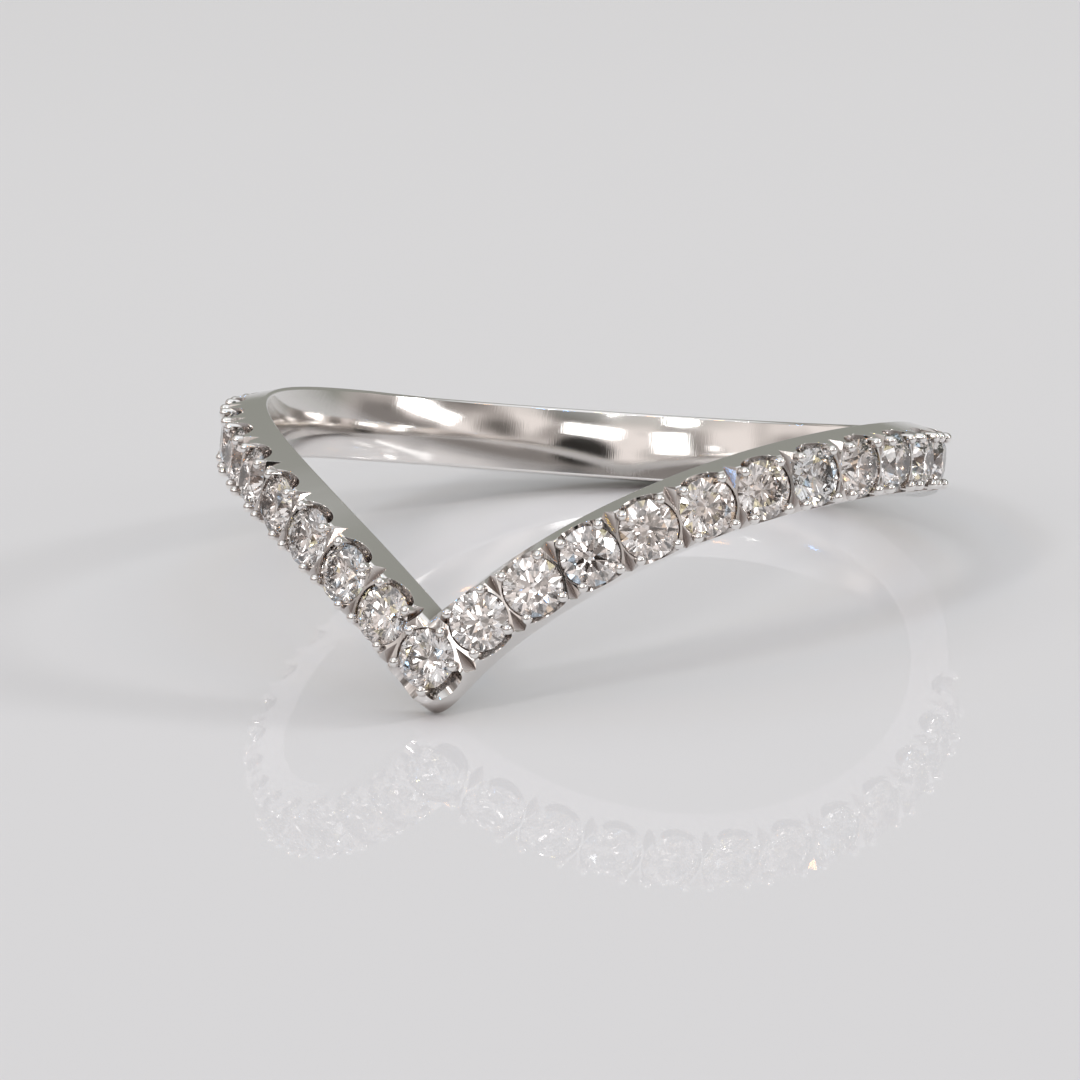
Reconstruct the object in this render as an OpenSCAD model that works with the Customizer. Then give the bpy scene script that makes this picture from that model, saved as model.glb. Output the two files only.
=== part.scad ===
// Chevron ring: a plain polished band that runs in a V at the front, with a
// single row of round brilliants held by split prongs along both arms.
// It is drawn as it lies on its side: on the point of the V and on the back.

/* [Finger size] */
// Inside diameter of the ring
bore_d = 16.5; // [15:0.1:19]
// Metal thickness of the plain back
wall = 1.15; // [1.1:0.05:1.4]
// Metal thickness along the arms, where the stones and their prongs stand proud of it
arm_wall = 0.97; // [0.92:0.01:1]

/* [Band] */
// Width of the band at the bore, measured across the arm
band_w = 1.92; // [1.86:0.02:2.1]
// Width of the plain back
back_w = 1.84; // [1.7:0.02:2]
// How much narrower each side is at the outside than at the bore
draft = 0.22; // [0.18:0.01:0.24]
// Bevel along both edges of the bore
bore_bevel = 0.1; // [0.06:0.01:0.14]
// Rounding along the outside edges of the plain back
back_round = 0.3; // [0.2:0.02:0.36]

/* [V shape] */
// How far the point of the V lies below the back, centre line to centre line
v_depth = 6; // [4.5:0.1:6.5]
// Angle from the point at which an arm has run into the level back
v_reach = 117; // [110:1:120]
// How fast the arms flatten out: higher is more hollow
v_power = 2.75; // [2.5:0.05:2.9]
// Rounding of the lower corner of the V, as an angle round the finger
tip_round = 4.6; // [4:0.1:5]
// How much deeper the metal is below the tip stone
tip_deep = 0.64; // [0.56:0.02:0.72]
// How far round the finger that extra depth runs out
tip_run = 10; // [9:0.5:11]

/* [Stones] */
// Girdle diameter of one stone
stone_d = 1.5; // [1.44:0.01:1.5]
// Distance from stone to stone along the arm
pitch = 1.59; // [1.58:0.01:1.65]
// Distance along the arm from the tip of the V to the first stone beside it
first_step = 1.7; // [1.68:0.01:1.75]
// How far the tip stone sits above the centre line, towards the notch
tip_lift = 0.08; // [0.04:0.01:0.14]
// Depth of the girdle below the outside of the arms
girdle_sink = 0.1; // [0.08:0.01:0.12]
// Space left between a stone and the metal
gap = 0.025; // [0.02:0.005:0.03]

/* [Setting] */
// Radius of the U-cut below a stone
scallop_r = 0.56; // [0.5:0.01:0.58]
// Radius of one prong
prong_r = 0.135; // [0.12:0.005:0.145]
// How far a prong reaches over the edge of its stone
prong_over = 0.1; // [0.07:0.01:0.11]
// How far the rounded end of a prong stands above the crown of its stone
prong_rise = 0.2; // [0.16:0.01:0.22]
// How far the split between two prongs runs down the side wall
split_down = 0.55; // [0.4:0.01:0.6]
// How far that split runs in from the edge
split_in = 0.3; // [0.2:0.01:0.32]
// How far that split opens to each side at its mouth
split_w = 0.36; // [0.3:0.01:0.4]

/* [Hidden] */
$fn = 64;
// Stones on each arm beside the tip stone, each a node of its own
arm_stones = 11;
// Table and heights of a round brilliant as shares of its diameter
table_share = 0.56;
crown_share = 0.15;
girdle_share = 0.03;
pavilion_share = 0.43;
star_share = 0.76;
lower_share = 0.24;
facets = 8;
facet_turn = 360 / facets;
stone_spin = 17;

r_in = bore_d / 2;
r_out = r_in + wall;
r_arm = r_in + arm_wall;
r_girdle = r_arm - girdle_sink;
stone_r = stone_d / 2;
crown_h = stone_d * crown_share;
girdle_h = stone_d * girdle_share;
pavilion_h = stone_d * pavilion_share;
table_r = stone_r * table_share;
crown_angle = atan(crown_h / (stone_r - table_r));

// Blunt end of a prong: height of its slope and radius of its flat, as shares of the radius
end_slope = 0.8;
end_flat = 0.6;
// Prongs: how far their axes stand in from the outside corners of the band
prong_in = 0.148;
prong_out = stone_r - prong_over + prong_r;
// A prong stands in the metal beside its stone and reaches over it just clear of the crown
prong_foot = 0.16;
crown_clear = girdle_h / 2 + prong_over * tan(crown_angle) + gap / cos(crown_angle);
seat_top = max(girdle_sink + gap, crown_clear);
prong_top = girdle_h / 2 + prong_rise;
prong_end = prong_top + end_slope * prong_r;
prong_end_r = end_flat * prong_r;
// Where they stand round a stone, as angles from the line of the arm
prong_turn = asin((band_w / 2 - draft - prong_in) / prong_out);
arm_prongs = [prong_turn, 180 - prong_turn, 180 + prong_turn, -prong_turn];
// The tip stone has two prongs above it, one on each side and one at the point
tip_prongs = [58, 122, 190, 270, 350];

// Sections of the sweep on each side, closer together near the point of the V
half_steps = 48;
step_power = 1.6;
// The sweep reaches this far inside the bore, which is then bored out
inside = 0.3;
// Small rounding of the outside edges along the arms, and what it grows by at the point
edge = 0.04;
tip_edge = 0.12;
// Share of a rounding at which its two flats meet
edge_share = 0.29;
// The plain back starts behind the last stone and is reached over this angle
plain_from = 113;
plain_over = 14;

// Height of the centre line and its slope at an angle a from the point
function run(a) = max(0, 1 - abs(a) / v_reach);
function line_z(a) = -v_depth * pow(run(a), v_power);
function slope(a) = v_depth * v_power / (v_reach * PI / 180) * pow(run(a), v_power - 1) / (r_in + wall / 2);
function lean(a) = sqrt(1 + slope(a) * slope(a));
function soft(a) = sqrt(a * a + tip_round * tip_round);
function plain(a) = min(1, max(0, (abs(a) - plain_from) / plain_over));
function mix(p, q, t) = p + (q - p) * t;
function near_tip(a) = 1 / pow(1 + pow(a / tip_run, 2), 2);

// Half widths at the bore and at the outside, and the edge rounding
function half_in(a) = mix(band_w, back_w, plain(a)) / 2;
function half_out(a) = mix(band_w / 2 - draft, back_w / 2, plain(a));
function round_out(a) = mix(edge, back_round, plain(a)) + tip_edge * near_tip(a);
function r_top(a) = mix(r_arm, r_out, plain(a));
function top_z(a, v) = line_z(a) + v * lean(a);
function low_z(a, v) = line_z(soft(a)) - v * lean(soft(a)) - tip_deep * near_tip(a);

// One side of a section as [radius, half width]
function side(a) = [
    [r_in - inside, half_in(a) - bore_bevel - inside],
    [r_in + bore_bevel, half_in(a)],
    [r_top(a) - round_out(a), half_out(a)],
    [r_top(a) - edge_share * round_out(a), half_out(a) - edge_share * round_out(a)],
    [r_top(a), half_out(a) - round_out(a)]
];
side_n = 5;
loop_n = 2 * side_n;
function spin_of(i) = 180 * sign(i) * pow(abs(i) / half_steps, step_power);
function at(a, r, z) = [r * sin(a), -r * cos(a), z];
function section(a) = concat(
    [for (p = side(a)) at(a, p[0], top_z(a, p[1]))],
    [for (k = [side_n - 1:-1:0]) at(a, side(a)[k][0], low_z(a, side(a)[k][1]))]
);

// Angles of the stones: equal steps along the arm
ref_r = r_girdle;
function step_deg(a, d) = d / (ref_r * sqrt(1 + pow(slope(a) * (r_in + wall / 2) / ref_r, 2))) * 180 / PI;
function next_a(a, d) = a + step_deg(a + step_deg(a, d) / 2, d);
function stone_a(k) = k == 0 ? 0 : next_a(stone_a(k - 1), k == 1 ? first_step : pitch);
arm_a = [for (k = [0:arm_stones]) stone_a(k)];
function spot_a(k) = sign(k) * arm_a[abs(k)];
function spot_z(k) = line_z(spot_a(k)) + (k == 0 ? tip_lift : 0);

// Angles of the posts between the stones; the first upper one stands clear of the notch
notch_share = 0.62;
function post_share(k, s) = k == 1 && s > 0 ? notch_share : 0.5;
function post_a(k, s) = mix(arm_a[k - 1], arm_a[k], post_share(k, s));

// How the ring lies: on the bore corner of the V point and on the back
touch_z = low_z(0, half_in(0));
tilt = atan((-back_w / 2 - touch_z) / (r_out - back_round + r_in + bore_bevel));
lift = (r_out - back_round) * sin(tilt) + back_w / 2 * cos(tilt);
front_y = -(r_girdle + prong_end) * cos(tilt) + (spot_z(0) - prong_out) * sin(tilt);
rear_y = r_out * cos(tilt) + back_w / 2 * sin(tilt);
shift = -(front_y + rear_y) / 2;

// The ring is drawn round an upright finger axis and laid down on its side
module lie_down() {
    translate([0, shift, lift]) rotate([-tilt, 0, 0]) children();
}

// Local frame on the band: x along the arm, y across it, z outwards from radius r
module on_band(a, z, r) {
    rotate([0, 0, a])
    translate([0, 0, z])
    rotate([90, 0, 0])
    translate([0, 0, r])
    rotate([0, 0, sign(a) * atan(slope(a))])
    children();
}
module at_stone(k, r) {
    on_band(spot_a(k), spot_z(k), r) children();
}
module at_post(k, s, side) {
    a = side * post_a(k, s);
    on_band(a, line_z(a), r_arm) children();
}

// Swept blank of the whole band
module blank() {
    n = 2 * half_steps;
    pts = [for (i = [-half_steps:half_steps - 1]) for (p = section(spin_of(i))) p];
    tris = [for (i = [0:n - 1]) for (j = [0:loop_n - 1])
        let (a = i * loop_n + j)
        let (b = i * loop_n + (j + 1) % loop_n)
        let (c = ((i + 1) % n) * loop_n + (j + 1) % loop_n)
        let (d = ((i + 1) % n) * loop_n + j)
        for (t = [[a, c, b], [a, d, c]]) t];
    polyhedron(points = pts, faces = tris, convexity = 10);
}

// Hole for one stone: a cone for the pavilion and a straight part above
module seat() {
    r = stone_r + gap;
    rotate_extrude() polygon([
        [0, -pavilion_h - 2 * gap],
        [r, -gap],
        [r, seat_top],
        [0, seat_top]]);
}

// Round brilliant: table, stars, kites, upper halves, girdle, lower halves, mains
function ring_of(n, r, z, turn) = [
    for (i = [0:n - 1]) let (t = turn + i * 360 / n) [r * cos(t), r * sin(t), z]];
module brilliant() {
    half = facet_turn / 2;
    g = girdle_h / 2;
    kite = crown_h / (stone_r - table_r);
    star_r = stone_r * star_share;
    star_z = g + crown_h - (star_r * cos(half) - table_r) * kite;
    low_r = stone_r * lower_share;
    low_h = -g - pavilion_h * (1 - low_r * cos(half) / stone_r);
    t0 = 0;
    s0 = facets;
    u0 = 2 * facets;
    g0 = 4 * facets;
    l0 = 6 * facets;
    c0 = 7 * facets;
    pts = concat(
        ring_of(facets, table_r, g + crown_h, 0),
        ring_of(facets, star_r, star_z, half),
        ring_of(2 * facets, stone_r, g, 0),
        ring_of(2 * facets, stone_r, -g, 0),
        ring_of(facets, low_r, low_h, half),
        [[0, 0, -g - pavilion_h]]);
    function w(i) = i % facets;
    function d(i) = i % (2 * facets);
    tops = [for (i = [facets - 1:-1:0]) t0 + i];
    stars = [for (i = [0:facets - 1]) [t0 + i, t0 + w(i + 1), s0 + i]];
    kites = [for (i = [0:facets - 1]) [t0 + i, s0 + i, u0 + 2 * i, s0 + w(i + facets - 1)]];
    uppers = [for (i = [0:facets - 1]) for (f = [
        [s0 + i, u0 + d(2 * i + 1), u0 + 2 * i],
        [s0 + i, u0 + d(2 * i + 2), u0 + d(2 * i + 1)]]) f];
    belts = [for (i = [0:2 * facets - 1]) [u0 + i, u0 + d(i + 1), g0 + d(i + 1), g0 + i]];
    lowers = [for (i = [0:facets - 1]) for (f = [
        [l0 + i, g0 + 2 * i, g0 + d(2 * i + 1)],
        [l0 + i, g0 + d(2 * i + 1), g0 + d(2 * i + 2)]]) f];
    mains = [for (i = [0:facets - 1]) [c0, l0 + w(i + facets - 1), g0 + 2 * i, l0 + i]];
    polyhedron(points = pts, faces = concat([tops], stars, kites, uppers, belts, lowers, mains), convexity = 2);
}

// U-cut across the band below a stone
module scallop() {
    rotate([90, 0, 0]) cylinder(r = scallop_r, h = 2 * band_w, center = true);
}

// U-cut through the lower wall beside the tip stone, square to one arm and started clear of its axis
tip_cut_from = 0.3;
module tip_scallop(side) {
    rotate([0, 0, side * atan(slope(0)) - 90]) translate([tip_cut_from, 0, 0]) rotate([0, 90, 0])
    cylinder(r = scallop_r, h = 2 * band_w);
}

// V-shaped split between two prongs, cut over the corner of the band
module split(s) {
    fall = atan(split_down / split_in);
    deep = split_in * sin(fall);
    translate([0, s * (band_w / 2 - draft), 0])
    rotate([90 - s * (90 - fall), 0, 0])
    linear_extrude(height = 4 * split_down, center = true)
    polygon([[0, -deep], [split_w, deep], [-split_w, deep]]);
}

// One prong: a round post at the edge of a stone, with a blunt end
module prong(angle) {
    rotate([0, 0, angle]) translate([prong_out, 0, 0]) rotate_extrude() polygon([
        [0, -prong_foot],
        [prong_r, -prong_foot],
        [prong_r, prong_top],
        [prong_end_r, prong_end],
        [0, prong_end]]);
}

module band() {
    color([0.83, 0.83, 0.82]) lie_down() difference() {
        union() {
            difference() {
                blank();
                for (k = [-arm_stones:arm_stones]) if (k != 0) at_stone(k, r_out) scallop();
                for (side = [-1, 1]) at_stone(0, r_out) tip_scallop(side);
                for (k = [1:arm_stones], s = [-1, 1], side = [-1, 1]) at_post(k, s, side) split(s);
            }
            for (k = [-arm_stones:arm_stones], a = k == 0 ? tip_prongs : arm_prongs)
                at_stone(k, r_girdle) prong(a);
        }
        for (k = [-arm_stones:arm_stones]) at_stone(k, r_girdle) seat();
        cylinder(r = r_in, h = 4 * v_depth, center = true, $fn = 128);
    }
}

module stone(k) {
    color([0.93, 0.95, 0.97]) lie_down() at_stone(k, r_girdle) rotate([0, 0, k * stone_spin]) brilliant();
}
module stone_tip() { stone(0); }
module stone_right_01() { stone(1); }
module stone_right_02() { stone(2); }
module stone_right_03() { stone(3); }
module stone_right_04() { stone(4); }
module stone_right_05() { stone(5); }
module stone_right_06() { stone(6); }
module stone_right_07() { stone(7); }
module stone_right_08() { stone(8); }
module stone_right_09() { stone(9); }
module stone_right_10() { stone(10); }
module stone_right_11() { stone(11); }
module stone_left_01() { stone(-1); }
module stone_left_02() { stone(-2); }
module stone_left_03() { stone(-3); }
module stone_left_04() { stone(-4); }
module stone_left_05() { stone(-5); }
module stone_left_06() { stone(-6); }
module stone_left_07() { stone(-7); }
module stone_left_08() { stone(-8); }
module stone_left_09() { stone(-9); }
module stone_left_10() { stone(-10); }
module stone_left_11() { stone(-11); }

band();
stone_tip();
stone_right_01();
stone_right_02();
stone_right_03();
stone_right_04();
stone_right_05();
stone_right_06();
stone_right_07();
stone_right_08();
stone_right_09();
stone_right_10();
stone_right_11();
stone_left_01();
stone_left_02();
stone_left_03();
stone_left_04();
stone_left_05();
stone_left_06();
stone_left_07();
stone_left_08();
stone_left_09();
stone_left_10();
stone_left_11();
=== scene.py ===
# %% [markdown]
# # A chevron ring on a glossy white table
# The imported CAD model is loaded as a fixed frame. It gives every place and size; the looks are
# made here. All new pieces are drawn in millimetres and brought to metres when they are finished,
# because Blender's tools have thresholds that suit sizes of about one unit.

# %% Load the frame
import bpy, math, random
from mathutils import Matrix, Vector


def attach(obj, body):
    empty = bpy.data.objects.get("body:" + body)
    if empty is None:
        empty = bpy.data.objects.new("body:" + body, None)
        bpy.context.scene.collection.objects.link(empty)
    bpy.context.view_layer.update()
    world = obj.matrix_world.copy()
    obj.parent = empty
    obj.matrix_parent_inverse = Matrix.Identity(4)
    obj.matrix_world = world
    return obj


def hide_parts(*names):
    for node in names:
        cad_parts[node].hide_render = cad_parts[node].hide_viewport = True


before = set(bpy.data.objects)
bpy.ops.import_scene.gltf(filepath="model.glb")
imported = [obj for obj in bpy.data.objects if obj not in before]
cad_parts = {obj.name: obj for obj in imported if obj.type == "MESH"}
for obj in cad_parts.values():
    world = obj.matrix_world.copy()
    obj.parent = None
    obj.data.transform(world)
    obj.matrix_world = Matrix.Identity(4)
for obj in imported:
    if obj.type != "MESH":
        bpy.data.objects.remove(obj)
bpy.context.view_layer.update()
MM = 0.001
print("CAD nodes:", len(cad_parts))

# %% [markdown]
# ## The measures of the ring
# A jeweller starts from the finger size and the stone size. The V is one smooth law: at an angle a
# from the point, the centre line lies line_z(a) below the level of the back. It is steep at the
# point and flattens out towards the back.

# %% Measures in millimetres and degrees
# radii of the finger hole, of the outside of the arms and of the outside of the back
R_IN, R_ARM, R_OUT = 8.25, 9.22, 9.40
# half widths of the arms and of the back, and how much of it the arms lose towards their outside
HALF_ARM, HALF_BACK, DRAFT = 0.96, 0.92, 0.22
# roundings: edges of the bore, outside edges of the arms and of the back, and the dome of the bore
BEVEL, EDGE, BACK_ROUND, DOME = 0.10, 0.04, 0.30, 0.11
# the law of the V: its depth, the angle at which it ends, and its power
V_DEPTH, V_REACH, V_POWER = 6.0, 117.0, 2.75
# its lower corner: rounding, extra depth, the angle over which that runs out, and a softer edge
TIP_ROUND, TIP_DEEP, TIP_RUN, TIP_EDGE = 4.6, 0.64, 10.0, 0.12
# the angle at which the arms begin to turn into the plain back, and how far that goes on
PLAIN_FROM, PLAIN_OVER = 113, 14
# a stone: radius, half girdle, crown and pavilion, and the air between it and its seat
STONE_R, GIRDLE, CROWN, PAVILION, GAP = 0.75, 0.0225, 0.225, 0.645, 0.025
# from stone to stone, to the first one, lift of the tip stone, sink of all, and the number on an arm
PITCH, FIRST, TIP_LIFT, SINK, ARM = 1.59, 1.70, 0.08, 0.10, 11
R_MID, R_GIRDLE = (R_IN + R_OUT) / 2, R_ARM - SINK
# how the finished ring lies
TILT, LIFT, SHIFT = math.radians(20.0123), 3.97867, 1.0136


def line_z(a):
    return -V_DEPTH * max(0.0, 1 - abs(a) / V_REACH) ** V_POWER


def slope(a):
    run = max(0.0, 1 - abs(a) / V_REACH)
    return V_DEPTH * V_POWER / math.radians(V_REACH) * run ** (V_POWER - 1) / R_MID


def lean(a):
    return math.sqrt(1 + slope(a) ** 2)


def soft(a):
    return math.sqrt(a * a + TIP_ROUND ** 2)


def plain(a):
    """0 on the arms with their stones, 1 on the plain back."""
    return min(1.0, max(0.0, (abs(a) - PLAIN_FROM) / PLAIN_OVER))


def mix(p, q, t):
    return p + (q - p) * t


def near_tip(a):
    """1 at the point of the V, soon nothing beside it."""
    return 1 / (1 + (a / TIP_RUN) ** 2) ** 2


def low_z(a, h):
    return line_z(soft(a)) - h * lean(soft(a)) - TIP_DEEP * near_tip(a)


def step(a, d):
    """The angle that a way of d along the arm takes."""
    return math.degrees(d / (R_GIRDLE * math.sqrt(1 + (slope(a) * R_MID / R_GIRDLE) ** 2)))


arm_a = [0.0]
for k in range(ARM):
    d = FIRST if k == 0 else PITCH
    arm_a.append(arm_a[-1] + step(arm_a[-1] + step(arm_a[-1], d) / 2, d))
print("stones stand at", [round(a, 1) for a in arm_a], "degrees from the point")

# %% [markdown]
# ## Local frames
# Two matrices do all the placing. on_band stands on the band at angle a: x runs along the arm, y
# across it, z outwards. lie_down lays the finished ring on the point of its V and on its back.

# %% Matrices
def turn(deg, axis):
    return Matrix.Rotation(math.radians(deg), 4, axis)


def shift(x, y, z):
    return Matrix.Translation((x, y, z))


def on_band(a, z, r):
    lean_deg = math.copysign(math.degrees(math.atan(slope(a))), a) if a else 0.0
    return turn(a, "Z") @ shift(0, 0, z) @ turn(90, "X") @ shift(0, 0, r) @ turn(lean_deg, "Z")


def spot(k):
    return math.copysign(arm_a[abs(k)], k) if k else 0.0


def at_stone(k, r):
    return on_band(spot(k), line_z(spot(k)) + (TIP_LIFT if k == 0 else 0.0), r)


lie_down = Matrix.Scale(MM, 4) @ shift(0, SHIFT, LIFT) @ Matrix.Rotation(-TILT, 4, "X")
stones = range(-ARM, ARM + 1)
print("places for", len(stones), "stones")

# %% [markdown]
# ## Small helpers
# An operator works on all that is selected, and the frame leaves its nodes selected, so every step
# starts from nothing selected.

# %% Helpers
def only(*objs):
    if bpy.context.object and bpy.context.object.mode != "OBJECT":
        bpy.ops.object.mode_set(mode="OBJECT")
    bpy.ops.object.select_all(action="DESELECT")
    for o in objs:
        o.select_set(True)
    bpy.context.view_layer.objects.active = objs[-1]


def added(name):
    o = bpy.context.object
    o.name = o.data.name = name
    return o


def pick(o, kind, test):
    """In edit mode: only what passes the test is selected."""
    bpy.ops.mesh.select_mode(type=kind)
    bpy.ops.mesh.select_all(action="DESELECT")
    bpy.ops.object.mode_set(mode="OBJECT")
    parts = {"VERT": o.data.vertices, "EDGE": o.data.edges, "FACE": o.data.polygons}[kind]
    n = 0
    for p in parts:
        if test(p):
            p.select = True
            n += 1
    bpy.ops.object.mode_set(mode="EDIT")
    return n


def clean(threshold):
    """In edit mode: everything selected and its doubles merged."""
    bpy.ops.mesh.select_all(action="SELECT")
    bpy.ops.mesh.remove_doubles(threshold=threshold)


def copies(model, places, name):
    """One object made of copies of a model, each moved by its own matrix."""
    made = []
    for m in places:
        c = model.copy()
        c.data = model.data.copy()
        c.matrix_world = m
        bpy.context.collection.objects.link(c)
        made.append(c)
    only(*made)
    bpy.ops.object.transform_apply(location=True, rotation=True, scale=True)
    bpy.ops.object.join()
    return added(name)


def outward(o):
    only(o)
    bpy.ops.object.mode_set(mode="EDIT")
    bpy.ops.mesh.select_all(action="SELECT")
    bpy.ops.mesh.normals_make_consistent(inside=False)
    bpy.ops.object.mode_set(mode="OBJECT")


def cut(o, tool):
    only(o)
    m = o.modifiers.new("cut", "BOOLEAN")
    m.operation, m.solver, m.object = "DIFFERENCE", "EXACT", tool
    m.double_threshold = 1e-6
    bpy.ops.object.modifier_apply(modifier=m.name)
    bpy.data.objects.remove(tool)
    print(o.name, "has", len(o.data.polygons), "faces after the cut")


def settle(o):
    """Bring a finished piece to its place in metres, with its object at the origin."""
    o.matrix_world = lie_down @ o.matrix_world
    only(o)
    bpy.ops.object.transform_apply(location=True, rotation=True, scale=True)


print("helpers defined")

# %% [markdown]
# ## The blank of the band
# The goldsmith's band is one bar of metal with a section about 1.9 mm wide and 1.15 mm thick. Its
# inner wall is domed a tenth of a millimetre for comfort. It could be drawn along a curve, but the
# walls of this one are drafted on the arms and rounded at the back, so the section itself changes.
# It is made as a plane with its corners bevelled, spun round the finger, and then each point is
# moved to the law of the V.

# %% The section
bpy.ops.object.select_all(action="DESELECT")
bpy.ops.mesh.primitive_plane_add(size=1, location=(0, 0, 0), rotation=(0, math.pi / 2, 0))
band = added("band_metal")
bpy.ops.object.transform_apply(location=True, rotation=True, scale=True)
HALF_TOP = HALF_ARM - DRAFT
# segments round each corner, and cuts across the wall of the bore
CORNER, ACROSS = 4, 9
for v in band.data.vertices:
    outside = v.co.y < 0
    v.co = (0, -R_ARM if outside else -R_IN, math.copysign(HALF_TOP if outside else HALF_ARM, v.co.z))
bpy.ops.object.mode_set(mode="EDIT")
pick(band, "VERT", lambda v: v.co.y > -R_IN - 0.01)
bpy.ops.mesh.bevel(offset=BEVEL, offset_type="OFFSET", affect="VERTICES", segments=CORNER, profile=0.5)
pick(band, "VERT", lambda v: v.co.y < -R_ARM + 0.01)
bpy.ops.mesh.bevel(offset=EDGE, offset_type="OFFSET", affect="VERTICES", segments=CORNER, profile=0.5)
# a domed wall needs points across it
pick(band, "EDGE", lambda e: all(abs(band.data.vertices[i].co.y + R_IN) < 1e-4 for i in e.vertices))
bpy.ops.mesh.subdivide(number_cuts=ACROSS)
bpy.ops.object.mode_set(mode="OBJECT")
print("section:", [(round(-v.co.y, 3), round(v.co.z, 3)) for v in band.data.vertices])

# %% Spin the section round the finger
SECTIONS, ROUND = 720, 2 * math.pi
bpy.ops.object.mode_set(mode="EDIT")
bpy.ops.mesh.select_all(action="SELECT")
bpy.ops.mesh.delete(type="ONLY_FACE")
bpy.ops.mesh.select_all(action="SELECT")
bpy.ops.mesh.spin(steps=SECTIONS, angle=ROUND, center=(0, 0, 0), axis=(0, 0, 1), use_auto_merge=False)
clean(1e-4)
bpy.ops.object.mode_set(mode="OBJECT")
print("blank:", len(band.data.vertices), "points")

# %% Move each point to the law of the V
# the sections crowd together towards the point, and the outer corner starts at OUTER
CROWD, OUTER = 1.3, R_ARM - EDGE - 0.012
for v in band.data.vertices:
    x, y, z = v.co
    a = math.degrees(math.atan2(x, -y))
    r = math.hypot(x, y)
    a = math.copysign(180 * (abs(a) / 180) ** CROWD, a)
    h = abs(z)
    e = mix(EDGE, BACK_ROUND, plain(a)) + TIP_EDGE * near_tip(a)
    if r > OUTER:
        h_out = mix(HALF_TOP, HALF_BACK, plain(a))
        # the corner is as the bevel made it on the arms, and a true quarter circle on the back
        up, out = (h - (HALF_TOP - EDGE)) / EDGE, (r - (R_ARM - EDGE)) / EDGE
        n = mix(1.0, math.hypot(up, out), plain(a))
        h = h_out - e + up / n * e
        r = mix(R_ARM, R_OUT, plain(a)) - e + out / n * e
        z = line_z(a) + h * lean(a) if z > 0 else low_z(a, h)
    else:
        share, h = z / HALF_ARM, mix(HALF_ARM, HALF_BACK, plain(a))
        r -= DOME * (1 - share ** 2)
        z = mix(low_z(a, h), line_z(a) + h * lean(a), (1 + share) / 2)
    t = math.radians(a)
    v.co = (r * math.sin(t), -r * math.cos(t), z)
outward(band)
print("band spans", [round(c, 2) for c in band.dimensions])

# %% [markdown]
# ## Seats, U-cuts and splits
# In the workshop the setter drills a seat for each stone, files a U under it from side to side, and
# splits the metal left between two stones into prongs. All this could be pulled out of the faces of
# the band one by one, but a real tool makes each of the cuts, so the tool is modelled instead: each
# cutter once, copied to all its places and taken away from the band with an exact Boolean.

# %% Seats
# a cone for the pavilion and a straight wall above it, long enough to leave the metal
SEAT_SIDES, SEAT_WALL = 48, 1.2
seat_deep = PAVILION + GAP
bpy.ops.object.select_all(action="DESELECT")
bpy.ops.mesh.primitive_cone_add(
    vertices=SEAT_SIDES, radius1=0, radius2=STONE_R + GAP, depth=seat_deep,
    location=(0, 0, -GAP - seat_deep / 2))
seat = added("seat")
bpy.ops.object.transform_apply(location=True, rotation=True, scale=True)
bpy.ops.object.mode_set(mode="EDIT")
pick(seat, "FACE", lambda p: p.normal.z > 0.9)
bpy.ops.mesh.extrude_region_move(TRANSFORM_OT_translate={"value": (0, 0, SEAT_WALL)})
bpy.ops.object.mode_set(mode="OBJECT")
seats = copies(seat, [at_stone(k, R_GIRDLE) for k in stones], "seats")
outward(seats)
cut(band, seats)

# %% U-cuts
U_SIDES, U_R, U_LONG, OFF_AXIS = 64, 0.56, 3, 0.3
bpy.ops.object.select_all(action="DESELECT")
bpy.ops.mesh.primitive_cylinder_add(
    vertices=U_SIDES, radius=U_R, depth=U_LONG, rotation=(math.pi / 2, 0, 0))
u_cut = added("u_cut")
bpy.ops.object.transform_apply(location=True, rotation=True, scale=True)
tip_turn = math.degrees(math.atan(slope(0)))
groups = [[at_stone(k, R_OUT) for k in stones if abs(k) > 1]]
groups += [[at_stone(-1, R_OUT)], [at_stone(1, R_OUT)]]
for side in (-1, 1):
    # a cylinder that starts a little off the axis of the tip stone and runs out square to one arm
    groups.append([at_stone(0, R_OUT) @ turn(side * tip_turn, "Z") @ shift(0, -OFF_AXIS - U_LONG / 2, 0)])
for places in groups:
    # those near the point cross each other, so they are cut one at a time
    u_cuts = copies(u_cut, places, "u_cuts")
    outward(u_cuts)
    cut(band, u_cuts)
bpy.data.objects.remove(u_cut)

# %% Splits between the prongs
# down the side wall, into the outside, half width, and the share of the way beside the tip stone
DOWN, INTO, WIDE, LATE = 0.55, 0.30, 0.36, 0.62
fall = math.degrees(math.atan(DOWN / INTO))
deep = INTO * math.sin(math.radians(fall))
bpy.ops.object.select_all(action="DESELECT")
bpy.ops.mesh.primitive_cylinder_add(vertices=3, radius=1, depth=4 * DOWN)
split = added("split")
for v in split.data.vertices:
    if v.co.y > 0.9:
        v.co.x, v.co.y = 0, -deep
    else:
        v.co.x, v.co.y = math.copysign(WIDE, v.co.x), deep


def split_at(k, side, wall):
    """A split between stones k - 1 and k: halfway, or a little late beside the tip stone."""
    a = side * mix(arm_a[k - 1], arm_a[k], LATE if k == 1 and wall > 0 else 0.5)
    on_top = on_band(a, line_z(a), R_ARM) @ shift(0, wall * HALF_TOP, 0)
    return on_top @ turn(90 - wall * (90 - fall), "X")


places = [split_at(k, side, wall) for k in range(1, ARM + 1) for wall in (-1, 1) for side in (-1, 1)]
splits = copies(split, places, "splits")
bpy.data.objects.remove(split)
outward(splits)
cut(band, splits)

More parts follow.
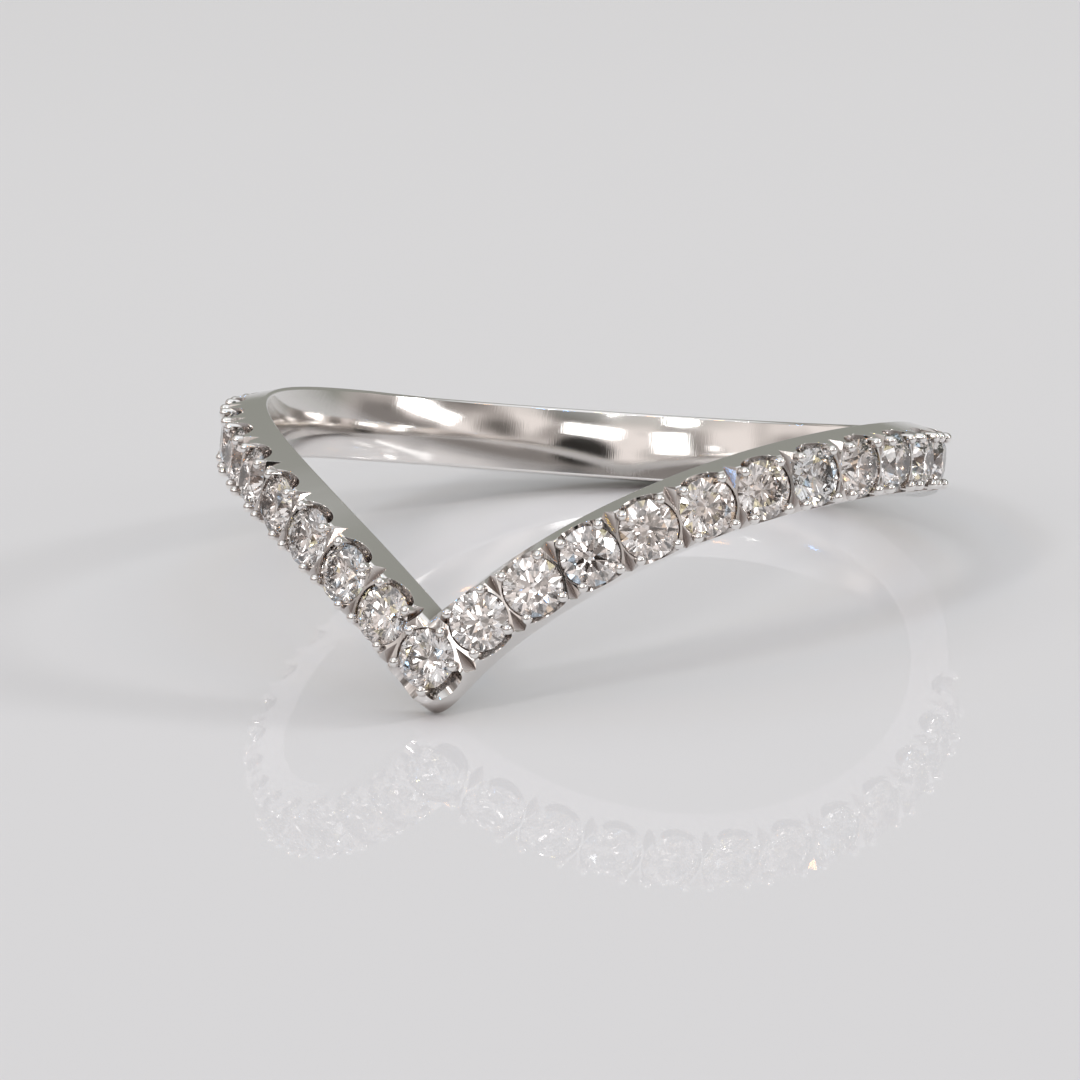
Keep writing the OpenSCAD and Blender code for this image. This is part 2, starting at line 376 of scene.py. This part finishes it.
# %% Clean the cut edges and shade
def even_shading(o, angle):
    """Smooth by angle, with normals ruled by the largest faces, so that flats stay flat."""
    only(o)
    bpy.ops.object.shade_smooth_by_angle(angle=math.radians(angle))
    m = o.modifiers.new("weights", "WEIGHTED_NORMAL")
    m.mode, m.weight, m.keep_sharp = "FACE_AREA", 100, True
    bpy.ops.object.modifier_apply(modifier=m.name)


only(band)
bpy.ops.object.mode_set(mode="EDIT")
clean(2e-4)
# the last cuts leave a seam without width at the point of the V, which is closed here
bpy.ops.mesh.select_mode(type="EDGE")
bpy.ops.mesh.select_all(action="DESELECT")
bpy.ops.mesh.select_non_manifold(
    use_wire=False, use_boundary=True, use_multi_face=False, use_non_contiguous=False, use_verts=False)
bpy.ops.mesh.fill_holes(sides=0)
bpy.ops.object.mode_set(mode="OBJECT")
even_shading(band, 28)
settle(band)
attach(band, "root")
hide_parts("band")
print("band:", len(band.data.polygons), "faces")

# %% [markdown]
# ## Prongs
# The setter pushes a little curl of metal over the edge of each stone and rounds it with a beading
# tool. A prong could be pulled out of the band, but there it would follow the cuts and not be round.
# So one prong is a ball whose lower half is drawn down into a post, with a bite taken out of it
# where the girdle of its stone goes in, and all others are copies.

# %% One prong, copied to every stone
# radius, reach over the stone, rise above the girdle, angle round the stone, root, end of the bite
PRONG_R, OVER, RISE, TURN, FOOT, SEAT_TOP = 0.135, 0.10, 0.20, 48.95, 0.16, 0.125
TIP_TURNS = (58, 122, 190, 270, 350)
prong_out = STONE_R - OVER + PRONG_R
top = GIRDLE + RISE + 0.8 * PRONG_R
bpy.ops.object.select_all(action="DESELECT")
bpy.ops.mesh.primitive_uv_sphere_add(
    segments=20, ring_count=10, radius=PRONG_R, location=(0, 0, top - PRONG_R))
prong = added("prong")
bpy.ops.object.transform_apply(location=True, rotation=True, scale=True)
bpy.ops.object.mode_set(mode="EDIT")
pick(prong, "VERT", lambda v: v.co.z < top - PRONG_R - 0.01)
bpy.ops.transform.translate(value=(0, 0, -FOOT - top + PRONG_R))
bpy.ops.transform.resize(value=(1, 1, 0), center_override=(0, 0, -FOOT))
bpy.ops.object.mode_set(mode="OBJECT")
for v in seat.data.vertices:
    v.co.z = min(v.co.z, SEAT_TOP)
seat.location = (-prong_out, 0, 0)
cut(prong, seat)
only(prong)
bpy.ops.object.mode_set(mode="EDIT")
clean(1e-3)
bpy.ops.mesh.dissolve_degenerate(threshold=1e-3)
bpy.ops.object.mode_set(mode="OBJECT")
places = []
for k in stones:
    around = TIP_TURNS if k == 0 else (TURN, 180 - TURN, 180 + TURN, -TURN)
    for deg in around:
        places.append(at_stone(k, R_GIRDLE) @ turn(deg, "Z") @ shift(prong_out, 0, 0))
prongs = copies(prong, places, "prongs")
bpy.data.objects.remove(prong)
outward(prongs)
only(prongs)
bpy.ops.object.shade_smooth_by_angle(angle=math.radians(40))
settle(prongs)
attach(prongs, "root")
print("prongs:", len(places), "with", len(prongs.data.polygons), "faces")

# %% [markdown]
# ## One brilliant, cut as a cutter cuts it
# A brilliant is ground facet by facet on a wheel, each facet a flat plane. It could be built from
# points and faces, but a kite has four points and is flat only if all of them are exact, and a bent
# facet shows at once. So a sixteen-sided prism is the rough stone, and bisect takes away what lies
# outside one plane after another: the table, 8 stars, 8 kites, 16 upper and 16 lower halves, 8 mains.

# %% Planes of the facets
# how far out the corners of the table, the tips of the stars and those of the lower halves lie
TABLE_R, STAR_R, LOWER_R = STONE_R * 0.56, STONE_R * 0.76, STONE_R * 0.24
half = math.radians(22.5)
kite = CROWN / (STONE_R - TABLE_R)


def ring_pt(r, deg, z):
    return Vector((r * math.cos(math.radians(deg)), r * math.sin(math.radians(deg)), z))


star_z = GIRDLE + CROWN - (STAR_R * math.cos(half) - TABLE_R) * kite
lower_z = -GIRDLE - PAVILION * (1 - LOWER_R * math.cos(half) / STONE_R)
planes = [(Vector((0, 0, GIRDLE + CROWN)), Vector((0, 0, 1)))]


def facet(a, b, c):
    n = (b - a).cross(c - a).normalized()
    if n.dot(a) < 0:
        n = -n
    planes.append((a, n))


for i in range(8):
    t = 45 * i
    star = ring_pt(STAR_R, t + 22.5, star_z)
    facet(ring_pt(TABLE_R, t, GIRDLE + CROWN), ring_pt(TABLE_R, t + 45, GIRDLE + CROWN), star)
    facet(ring_pt(TABLE_R, t, GIRDLE + CROWN), star, ring_pt(STAR_R, t - 22.5, star_z))
    facet(star, ring_pt(STONE_R, t, GIRDLE), ring_pt(STONE_R, t + 22.5, GIRDLE))
    facet(star, ring_pt(STONE_R, t + 22.5, GIRDLE), ring_pt(STONE_R, t + 45, GIRDLE))
    low = ring_pt(LOWER_R, t + 22.5, lower_z)
    facet(low, ring_pt(STONE_R, t, -GIRDLE), ring_pt(STONE_R, t + 22.5, -GIRDLE))
    facet(low, ring_pt(STONE_R, t + 22.5, -GIRDLE), ring_pt(STONE_R, t + 45, -GIRDLE))
    facet(Vector((0, 0, -GIRDLE - PAVILION)), low, ring_pt(LOWER_R, t - 22.5, lower_z))
print("facets to cut:", len(planes))

# %% Cut the stone
bpy.ops.object.select_all(action="DESELECT")
bpy.ops.mesh.primitive_cylinder_add(vertices=16, radius=STONE_R, depth=2.4, rotation=(0, 0, math.pi / 2))
brilliant = added("brilliant")
bpy.ops.object.transform_apply(location=True, rotation=True, scale=True)
bpy.ops.object.mode_set(mode="EDIT")
for co, no in planes:
    bpy.ops.mesh.select_all(action="SELECT")
    bpy.ops.mesh.bisect(plane_co=co, plane_no=no, use_fill=True, clear_outer=True, threshold=1e-5)
clean(1e-4)
bpy.ops.mesh.normals_make_consistent(inside=False)
bpy.ops.object.mode_set(mode="OBJECT")
print("brilliant:", len(brilliant.data.polygons), "facets", [round(c, 3) for c in brilliant.dimensions])

# %% [markdown]
# ## The stones in their seats
# No two real stones are the same: each sits a degree or so off its axis, is turned its own way and has
# its own warmth of white. All could share one mesh, but then they would share their tints too. So each
# copy has its own mesh, and the tints of its facets are kept there as a face attribute, which the
# material reads later. It holds the warmth of the stone and, on a few small facets, painted fire: flashes
# of orange, blue and yellow light painted in place of dispersion.

# %% Set one in every seat
# degrees off the axis, degrees of twist, the largest area that may carry a fleck of painted fire, and
# their share
ASKEW, TWIST, SMALL_FACET, FIRE_SHARE = 2, 17, 0.05, 0.18
# the colours of the painted fire, flashes of light painted on facets in place of dispersion
PAINTED_FIRE_TINTS = ((1.0, 0.66, 0.40), (0.48, 0.72, 1.0), (1.0, 0.86, 0.42))
# the one stone that looks whiter than the others
WHITEST = 7
random.seed(11)
names = {0: "stone_tip"}
for k in range(1, ARM + 1):
    names[k], names[-k] = "stone_right_%02d" % k, "stone_left_%02d" % k
gems = []
for k in stones:
    gem = brilliant.copy()
    gem.data = brilliant.data.copy()
    gem.name = gem.data.name = "brilliant_" + names[k][6:]
    bpy.context.collection.objects.link(gem)
    tip_x, tip_y = random.uniform(-ASKEW, ASKEW), random.uniform(-ASKEW, ASKEW)
    gem.matrix_world = at_stone(k, R_GIRDLE) @ turn(tip_x, "X") @ turn(tip_y, "Y") @ turn(TWIST * k, "Z")
    warmth_and_painted_fire = gem.data.attributes.new("warmth_and_painted_fire", "FLOAT_COLOR", "FACE")
    warm = 0.0 if k == WHITEST else random.uniform(0.6, 1.2)
    for p in gem.data.polygons:
        chance = random.random()
        g = random.uniform(0.95, 1.0)
        c = (g, g * (1 - 0.05 * warm), g * (1 - 0.08 * warm))
        # a few small facets get painted fire, a coloured flash of light painted in place of dispersion
        if p.area < SMALL_FACET and chance < FIRE_SHARE:
            c = PAINTED_FIRE_TINTS[int(chance * 16.6)]
        warmth_and_painted_fire.data[p.index].color = (*c, 1.0)
    settle(gem)
    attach(gem, "root")
    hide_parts(names[k])
    gems.append(gem)
bpy.data.objects.remove(brilliant)
print("stones set:", len(gems))

# %% [markdown]
# ## White gold: the polish
# The metal is rhodium-white gold with a high polish. A real polish is never perfect: fine hairlines
# run in all directions and the gloss changes a little from place to place. A picture of scratches
# could give that, but long thin noise does it without a file and never repeats. It is a node group,
# because the band and the prongs both use it with their own strengths.

# %% Fine hairlines as a node group
def node(tree, kind, x=0, y=0, **values):
    n = tree.nodes.new(kind)
    n.location = (x, y)
    for key, val in values.items():
        setattr(n, key, val)
    return n


hair = bpy.data.node_groups.new("polish_marks", "ShaderNodeTree")
for name, value in (("Scale", 1.0), ("Gloss", 0.08), ("Spread", 0.05)):
    socket = hair.interface.new_socket(name, in_out="INPUT", socket_type="NodeSocketFloat")
    socket.default_value = value
for name in ("Roughness", "Height"):
    hair.interface.new_socket(name, in_out="OUTPUT", socket_type="NodeSocketFloat")
gin = node(hair, "NodeGroupInput", -900)
gout = node(hair, "NodeGroupOutput", 700)
coord = node(hair, "ShaderNodeTexCoord", -1100, -200)
scaled = node(hair, "ShaderNodeVectorMath", -700, -200, operation="SCALE")
hair.links.new(coord.outputs["Object"], scaled.inputs[0])
hair.links.new(gin.outputs["Scale"], scaled.inputs["Scale"])
# three fields of long thin noise, each turned its own way
lines = []
for i, (turn_deg, size) in enumerate(((20, 900), (75, 1200), (130, 1000))):
    m = node(hair, "ShaderNodeMapping", -500, -200 - 260 * i)
    m.inputs["Rotation"].default_value = (0.4 * i, 0.7 + 0.3 * i, math.radians(turn_deg))
    m.inputs["Scale"].default_value = (size * 40, size * 2, size * 2)
    t = node(hair, "ShaderNodeTexNoise", -300, -200 - 260 * i)
    t.inputs["Scale"].default_value = 1.0
    t.inputs["Detail"].default_value = 3.0
    hair.links.new(scaled.outputs[0], m.inputs["Vector"])
    hair.links.new(m.outputs[0], t.inputs["Vector"])
    lines.append(t)
two = node(hair, "ShaderNodeMath", -80, -250, operation="ADD")
three = node(hair, "ShaderNodeMath", 80, -300, operation="ADD")
hair.links.new(lines[0].outputs["Fac"], two.inputs[0])
hair.links.new(lines[1].outputs["Fac"], two.inputs[1])
hair.links.new(two.outputs[0], three.inputs[0])
hair.links.new(lines[2].outputs["Fac"], three.inputs[1])
hair.links.new(three.outputs[0], gout.inputs["Height"])
# soft clouds of gloss
cloud = node(hair, "ShaderNodeTexNoise", -300, 200)
cloud.inputs["Scale"].default_value = 600.0
cloud.inputs["Detail"].default_value = 4.0
hair.links.new(coord.outputs["Object"], cloud.inputs["Vector"])
amount = node(hair, "ShaderNodeMath", 100, 150, operation="MULTIPLY_ADD")
hair.links.new(cloud.outputs["Fac"], amount.inputs[0])
hair.links.new(gin.outputs["Spread"], amount.inputs[1])
hair.links.new(gin.outputs["Gloss"], amount.inputs[2])
hair.links.new(amount.outputs[0], gout.inputs["Roughness"])
print("group polish_marks made")

# %% [markdown]
# ## White gold: rims and painted shade in the recesses
# A polishing wheel rounds every rim by about a hundredth of a millimetre. Rims could be bevelled in the
# mesh, but after so many cuts its faces are too small for that, so a Bevel node rounds only the shading.
# The narrow places between the stones get painted shade: an Ambient Occlusion node finds the recesses by
# itself, and the colour of the metal is darkened there to a brown grey.

# %% Rims and painted shade in recesses as a node group
# tone of the painted shade in a recess, and the shares of open sky at which it is full and gone
PAINTED_SHADE, TIGHT, OPEN = (0.42, 0.37, 0.345), 0.35, 0.88
# in metres: how far the metal looks round itself, and the radius of a rim
REACH, RIM = 0.0005, 0.000012
shade_and_rims = bpy.data.node_groups.new("rims_and_painted_shade", "ShaderNodeTree")
shade_and_rims.interface.new_socket("Unshaded", in_out="INPUT", socket_type="NodeSocketColor")
shade_and_rims.interface.new_socket("Colour", in_out="OUTPUT", socket_type="NodeSocketColor")
shade_and_rims.interface.new_socket("Rim", in_out="OUTPUT", socket_type="NodeSocketVector")
gin = node(shade_and_rims, "NodeGroupInput", -650)
gout = node(shade_and_rims, "NodeGroupOutput", 200)
open_air = node(shade_and_rims, "ShaderNodeAmbientOcclusion", -650, 250, samples=8)
open_air.inputs["Distance"].default_value = REACH
clear = node(shade_and_rims, "ShaderNodeMapRange", -400, 250)
clear.inputs["From Min"].default_value, clear.inputs["From Max"].default_value = TIGHT, OPEN
# painted shade: where the metal sees little open sky, its colour is darkened to the recess tone
tone = node(shade_and_rims, "ShaderNodeMix", -150, 200, data_type="RGBA")
tone.inputs[6].default_value = (*PAINTED_SHADE, 1)
rim = node(shade_and_rims, "ShaderNodeBevel", -150, -200, samples=6)
rim.inputs["Radius"].default_value = RIM
shade_and_rims.links.new(open_air.outputs["AO"], clear.inputs["Value"])
shade_and_rims.links.new(clear.outputs["Result"], tone.inputs[0])
shade_and_rims.links.new(gin.outputs["Unshaded"], tone.inputs[7])
shade_and_rims.links.new(tone.outputs[2], gout.inputs["Colour"])
shade_and_rims.links.new(rim.outputs["Normal"], gout.inputs["Rim"])
print("group rims_and_painted_shade made")


# %% White gold
# depth of the hairlines in metres
SCRATCH = 0.000002


def white_gold(name, gloss, spread, bump, colour):
    mat = bpy.data.materials.new(name)
    mat.use_nodes = True
    tree = mat.node_tree
    shader = tree.nodes["Principled BSDF"]
    shader.inputs["Metallic"].default_value = 1.0
    # painted shade in the recesses, and the normal of the rounded rims
    painted_shade_and_rim = node(tree, "ShaderNodeGroup", -400, 250)
    painted_shade_and_rim.node_tree = shade_and_rims
    painted_shade_and_rim.inputs["Unshaded"].default_value = (*colour, 1)
    tree.links.new(painted_shade_and_rim.outputs["Colour"], shader.inputs["Base Color"])
    marks = node(tree, "ShaderNodeGroup", -400, 0)
    marks.node_tree = hair
    marks.inputs["Gloss"].default_value = gloss
    marks.inputs["Spread"].default_value = spread
    tree.links.new(marks.outputs["Roughness"], shader.inputs["Roughness"])
    b = node(tree, "ShaderNodeBump", -180, -250)
    b.inputs["Strength"].default_value = bump
    b.inputs["Distance"].default_value = SCRATCH
    tree.links.new(marks.outputs["Height"], b.inputs["Height"])
    tree.links.new(painted_shade_and_rim.outputs["Rim"], b.inputs["Normal"])
    tree.links.new(b.outputs["Normal"], shader.inputs["Normal"])
    return mat


polished = white_gold("white_gold_polished", 0.05, 0.08, 0.25, (0.84, 0.82, 0.80))
beaded = white_gold("white_gold_beads", 0.07, 0.08, 0.3, (0.86, 0.84, 0.82))
for o, mat in ((band, polished), (prongs, beaded)):
    o.data.materials.clear()
    o.data.materials.append(mat)
print("metals on", band.name, prongs.name)

# %% [markdown]
# ## Diamond
# A cut diamond is clear. Its look comes from strong refraction and from light that is thrown back by the
# flat facets. The little flecks of colour come from dispersion, which one refraction index can't show.
# Three glasses, one for each colour, could, but they need far more samples to look clean. So the coloured
# flashes are painted light: a few facets carry a painted tint of orange, blue or yellow, kept as an
# attribute of the mesh together with the warmth of each stone.

# %% Diamond material
gem_mat = bpy.data.materials.new("diamond")
gem_mat.use_nodes = True
tree = gem_mat.node_tree
shader = tree.nodes["Principled BSDF"]
shader.inputs["Metallic"].default_value = 0.0
shader.inputs["Transmission Weight"].default_value = 1.0
shader.inputs["IOR"].default_value = 2.417
shader.inputs["Roughness"].default_value = 0.0
# the warmth of the stone and the painted fire on its facets
tint = node(tree, "ShaderNodeAttribute", -400, 0, attribute_name="warmth_and_painted_fire")
tree.links.new(tint.outputs["Color"], shader.inputs["Base Color"])
for gem in gems:
    gem.data.materials.clear()
    gem.data.materials.append(gem_mat)
print("diamond on", len(gems), "stones")

# %% [markdown]
# ## Table and camera
# The ring lies on a glossy white sheet. One plain white would do for a dull sheet, but a glossy one
# mirrors the dim room in a flat view and greys towards the back. So its colour is painted a little
# lighter that way, a painted light that makes up for the dim room it mirrors, and the ground is one even
# grey. The camera stands low on the right, far off with a long lens, because a near one would draw the
# point of the V too large.

# %% Table
# the way from the camera into the picture, and the half length in metres of the painted change of tone
INTO_VIEW, CHANGE = (-0.405, 0.914, 0), 0.05
# painted light: the colour of the sheet near the camera and further off, lighter there to make up for the
# dim room it mirrors
NEAR_TONE, FAR_TONE = (0.735, 0.737, 0.752), (0.815, 0.817, 0.833)
bpy.ops.object.select_all(action="DESELECT")
bpy.ops.mesh.primitive_plane_add(size=6, location=(0, 0, 0))
table = added("table")
mat = bpy.data.materials.new("white_sheet")
mat.use_nodes = True
tree = mat.node_tree
shader = tree.nodes["Principled BSDF"]
shader.inputs["Roughness"].default_value = 0.012
shader.inputs["IOR"].default_value = 1.30
at = node(tree, "ShaderNodeTexCoord", -800)
away = node(tree, "ShaderNodeVectorMath", -600, 0, operation="DOT_PRODUCT")
away.inputs[1].default_value = INTO_VIEW
tone = node(tree, "ShaderNodeMapRange", -400, 0, data_type="FLOAT_VECTOR")
tone.inputs[7].default_value, tone.inputs[8].default_value = (-CHANGE,) * 3, (CHANGE,) * 3
tone.inputs[9].default_value, tone.inputs[10].default_value = NEAR_TONE, FAR_TONE
tree.links.new(at.outputs["Object"], away.inputs[0])
tree.links.new(away.outputs["Value"], tone.inputs[6])
tree.links.new(tone.outputs["Vector"], shader.inputs["Base Color"])
table.data.materials.append(mat)
print("table laid")

# %% Camera
# where it stands and what it looks at in millimetres, its roll in degrees, sensor and lens
eye, aim = Vector((69.2484, -156.1532, 56.9982)) * MM, Vector((-1.0225, -0.0164, 1.4270)) * MM
ROLL, SENSOR, LENS = -4.034, 36, 232.043
bpy.ops.object.camera_add(location=eye)
cam = bpy.context.object
cam.name = "camera"
roll = Matrix.Rotation(math.radians(ROLL), 3, "Z")
cam.rotation_euler = ((aim - eye).to_track_quat("-Z", "Y").to_matrix() @ roll).to_euler()
cam.data.sensor_width, cam.data.lens = SENSOR, LENS
cam.data.clip_start, cam.data.clip_end = 0.01, 20
bpy.context.scene.camera = cam
print("camera", round((aim - eye).length / MM), "mm away, with a", round(LENS), "mm lens")

# %% [markdown]
# ## Lamps
# A ring is photographed between several lamps: two strong ones cast the two soft shadows, one to the
# left and one to the back right, and broad dim ones are there to be mirrored. One large softbox
# would be simpler, but the domed wall of the bore shows each lamp as a short bright patch of its
# own. All stand far away, so that the ground is lit evenly.

# %% Lamps
# in metres; a lamp's place is its angle round the ring and its height over the table in degrees
FAR = 2.4


def toward(az, el):
    a, e = math.radians(az), math.radians(el)
    return Vector((math.cos(a) * math.cos(e), math.sin(a) * math.cos(e), math.sin(e)))


def lamp(name, az, el, wide, high, watts, colour=(1, 1, 1)):
    """A rectangle at FAR, its width and height given in degrees as the ring sees them."""
    place = toward(az, el) * FAR
    bpy.ops.object.light_add(type="AREA", location=place)
    o = bpy.context.object
    o.name = name
    o.rotation_euler = (-place).to_track_quat("-Z", "Y").to_euler()
    o.data.shape = "RECTANGLE"
    o.data.size, o.data.size_y = (2 * FAR * math.tan(math.radians(d / 2)) for d in (wide, high))
    o.data.energy, o.data.color = watts, colour


# name, angle, height, width, height of the lamp itself, watts
lamps = (
    ("lamp_right", 19, 27, 8, 8, 9.5), ("lamp_left", -108, 43, 8, 8, 7.0),
    ("window_right", 1, 16, 26, 9, 3.0), ("window_left", -101, 25, 13, 17, 2.8),
    ("lamp_over_camera", -67, 30, 20, 9, 3.2), ("lamp_small", -119, 21, 3, 4, 0.12))
for values in lamps:
    lamp(*values)
print("lamps:", len(lamps))

# %% Small spots, which give the stones their sparks of white and colour
SPOT_SIZE, SPOT_WATTS = 1.15, 0.45
white, orange, blue, yellow = (1, 1, 1), (1, 0.42, 0.12), (0.15, 0.42, 1), (1, 0.85, 0.25)
spots = (
    (-150, 48, white), (-128, 58, orange), (-105, 66, blue), (-84, 52, white), (-62, 62, yellow),
    (-40, 50, white), (-22, 60, blue), (-2, 46, orange), (40, 40, white), (-172, 34, blue),
    (-95, 47, orange), (-50, 47, blue), (-118, 53, yellow), (-142, 57, orange), (-74, 44, white))
for i, (az, el, colour) in enumerate(spots):
    lamp("spot_%02d" % i, az, el, SPOT_SIZE, SPOT_SIZE, SPOT_WATTS, colour)
print("spots:", len(spots))

# %% [markdown]
# ## The room
# Polished metal shows nothing but what it mirrors, so the room needs some structure: a bright
# ceiling, a dim grey green far wall, warm grey patches round the rest, a dimmer strip low down, and
# the dark camera. A picture of a studio could stand here, but it would need a file. So the world
# shader works every tone out from the direction alone.

# %% Room
world = bpy.data.worlds.new("room")
bpy.context.scene.world = world
world.use_nodes = True
wt = world.node_tree
back = wt.nodes["Background"]
sky = node(wt, "ShaderNodeTexCoord", -1700)
parts = node(wt, "ShaderNodeSeparateXYZ", -1500, 200)
wt.links.new(sky.outputs["Generated"], parts.inputs[0])
# two parts of a direction: how far it points up, and how far away from the camera
UP, AWAY = parts.outputs["Z"], parts.outputs["Y"]


def ramp(source, stops, x, y):
    """Tones at their places along a value."""
    r = node(wt, "ShaderNodeValToRGB", x, y)
    tones = r.color_ramp.elements
    for i in (0, -1):
        tones[i].position, tones[i].color = stops[i][0], (*stops[i][1], 1)
    for place, colour in stops[1:-1]:
        tones.new(place).color = (*colour, 1)
    wt.links.new(source, r.inputs[0])
    return r.outputs["Color"]


def span(source, low, high, x, y):
    """A soft step from 0 at low to 1 at high."""
    m = node(wt, "ShaderNodeMapRange", x, y, interpolation_type="SMOOTHSTEP")
    m.inputs["From Min"].default_value, m.inputs["From Max"].default_value = low, high
    wt.links.new(source, m.inputs["Value"])
    return m.outputs["Result"]


def blend(share, a, b, x, y):
    """From a to b, which is a plain colour or what a node puts out."""
    m = node(wt, "ShaderNodeMix", x, y, data_type="RGBA")
    wt.links.new(share, m.inputs[0])
    wt.links.new(a, m.inputs[6])
    if isinstance(b, tuple):
        m.inputs[7].default_value = (*b, 1)
    else:
        wt.links.new(b, m.inputs[7])
    return m.outputs[2]


def times(a, b, x, y):
    m = node(wt, "ShaderNodeMath", x, y, operation="MULTIPLY")
    wt.links.new(a, m.inputs[0])
    wt.links.new(b, m.inputs[1])
    return m.outputs[0]


print("room:", world.name)

# %% Walls and ceiling
# grey green up to 0.62, then brighter up to the ceiling right above
room = ramp(UP, (
    (0.0, (0.30, 0.305, 0.275)), (0.62, (0.34, 0.345, 0.32)),
    (0.8, (0.82, 0.83, 0.85)), (1.0, (1.08, 1.09, 1.12))), -900, 300)
patches = node(wt, "ShaderNodeTexNoise", -1300, -100)
patches.inputs["Scale"].default_value, patches.inputs["Detail"].default_value = 2.6, 1.0
wt.links.new(sky.outputs["Generated"], patches.inputs["Vector"])
# everywhere but on the far wall and the ceiling, warm grey patches break up the room
front_room = ramp(patches.outputs["Fac"], (
    (0.38, (0.16, 0.145, 0.135)), (0.5, (0.46, 0.42, 0.40)), (0.62, (0.95, 0.88, 0.85))), -1100, -100)
ahead = times(span(AWAY, 0.72, 0.40, -1300, 500), span(UP, 0.75, 0.5, -1300, 700), -1100, 600)
room = blend(ahead, room, front_room, -600, 200)
# and just above the table it is dimmer there
low = times(ahead, span(UP, 0.20, 0.06, -1300, 900), -900, 800)
room = blend(low, room, (0.24, 0.22, 0.21), -400, 200)
print("walls and ceiling:", len(wt.nodes), "nodes")

# %% The dark camera
# its direction, and the rims of a soft round patch, where 1 would be its middle
CAMERA_AT, RIM_OUT, RIM_IN = (-66, 13), 0.970, 0.986
lens = node(wt, "ShaderNodeVectorMath", -1300, -500, operation="DOT_PRODUCT")
lens.inputs[1].default_value = toward(*CAMERA_AT)
wt.links.new(sky.outputs["Generated"], lens.inputs[0])
on_camera = span(lens.outputs["Value"], RIM_OUT, RIM_IN, -1100, -500)
room = blend(on_camera, room, (0.02, 0.018, 0.016), -200, 200)
wt.links.new(room, back.inputs["Color"])
back.inputs["Strength"].default_value = 1.0
print("with the camera:", len(wt.nodes), "nodes")

# %% [markdown]
# ## Light paths and the end
# In a diamond the light turns round many times before it comes out. Fewer bounces would render faster,
# but they leave the stones black in their middles, so the paths may be long.

# %% Colour and light paths
scene = bpy.context.scene
scene.view_settings.view_transform = "Standard"
scene.cycles.max_bounces = 24
scene.cycles.transmission_bounces = 24
scene.cycles.glossy_bounces = 12
scene.cycles.blur_glossy = 0.6
print("bounces:", scene.cycles.max_bounces)

# %% Finish
print("finished")
